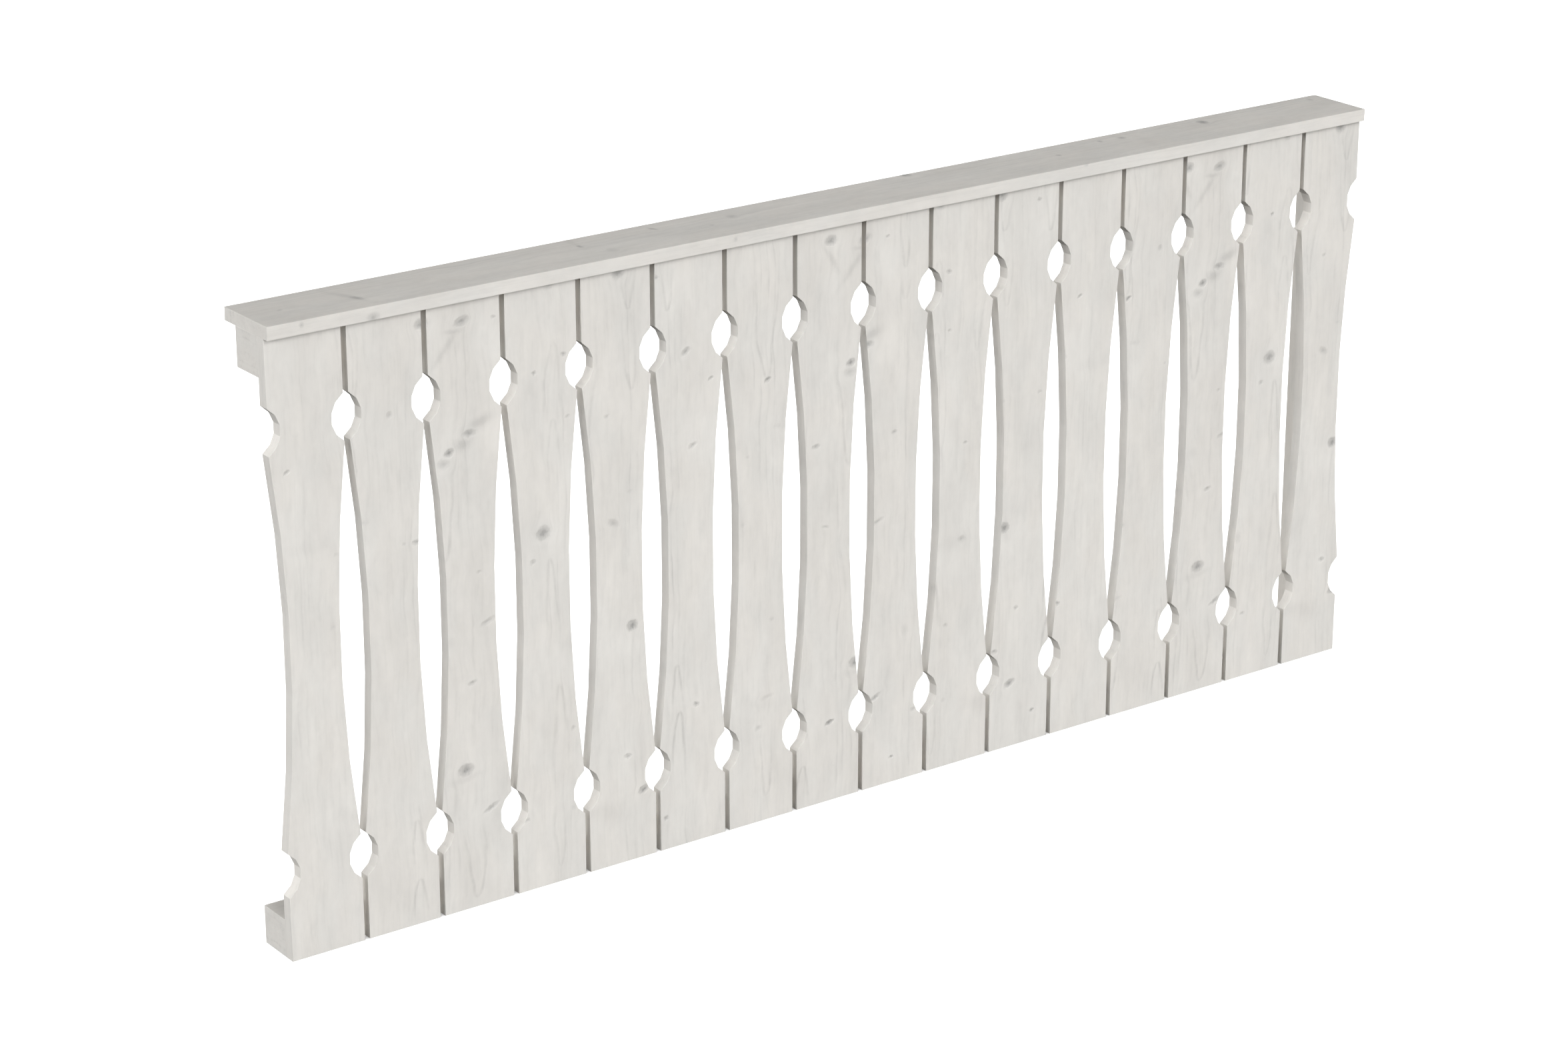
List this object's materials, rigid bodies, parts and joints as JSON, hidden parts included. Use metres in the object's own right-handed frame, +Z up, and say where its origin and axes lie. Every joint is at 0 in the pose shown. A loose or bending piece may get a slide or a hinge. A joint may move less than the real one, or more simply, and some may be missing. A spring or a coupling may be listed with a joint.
{
  "type": "balcony railing panel",
  "caption": "Timber balcony railing panel: upright boards with sawn notches and waisted edges, screwed to two rails and an end stile under a flat handrail cap, white glazed.",
  "frame": {"origin": "on the back face of the lower rail, halfway along the panel and halfway up the rail", "axes": "+X along the panel to the right as seen from the front, +Y from the boards' front towards the rails' back, +Z up"},
  "size_m": [2.05, 0.12, 0.96],
  "materials": {
    "glazed_boards": "white translucent glaze on planed spruce, satin, grain and knots showing through",
    "glazed_rails": "white translucent glaze on planed spruce, satin, grain and knots showing through",
    "glazed_cap": "white translucent glaze on planed spruce, satin, grain and knots showing through",
    "zinc_screws": "dull zinc-plated screw heads on the hidden side of the rails"
  },
  "bodies": {
    "root": {"baluster_01": "glazed_boards", "baluster_02": "glazed_boards", "baluster_03": "glazed_boards", "baluster_04": "glazed_boards", "baluster_05": "glazed_boards", "baluster_06": "glazed_boards", "baluster_07": "glazed_boards", "baluster_08": "glazed_boards", "baluster_09": "glazed_boards", "baluster_10": "glazed_boards", "baluster_11": "glazed_boards", "baluster_12": "glazed_boards", "baluster_13": "glazed_boards", "baluster_14": "glazed_boards", "baluster_15": "glazed_boards", "baluster_16": "glazed_boards", "upper_rail": "glazed_rails", "lower_rail": "glazed_rails", "end_stile": "glazed_rails", "handrail_cap": "glazed_cap"}
  },
  "joints": []
}
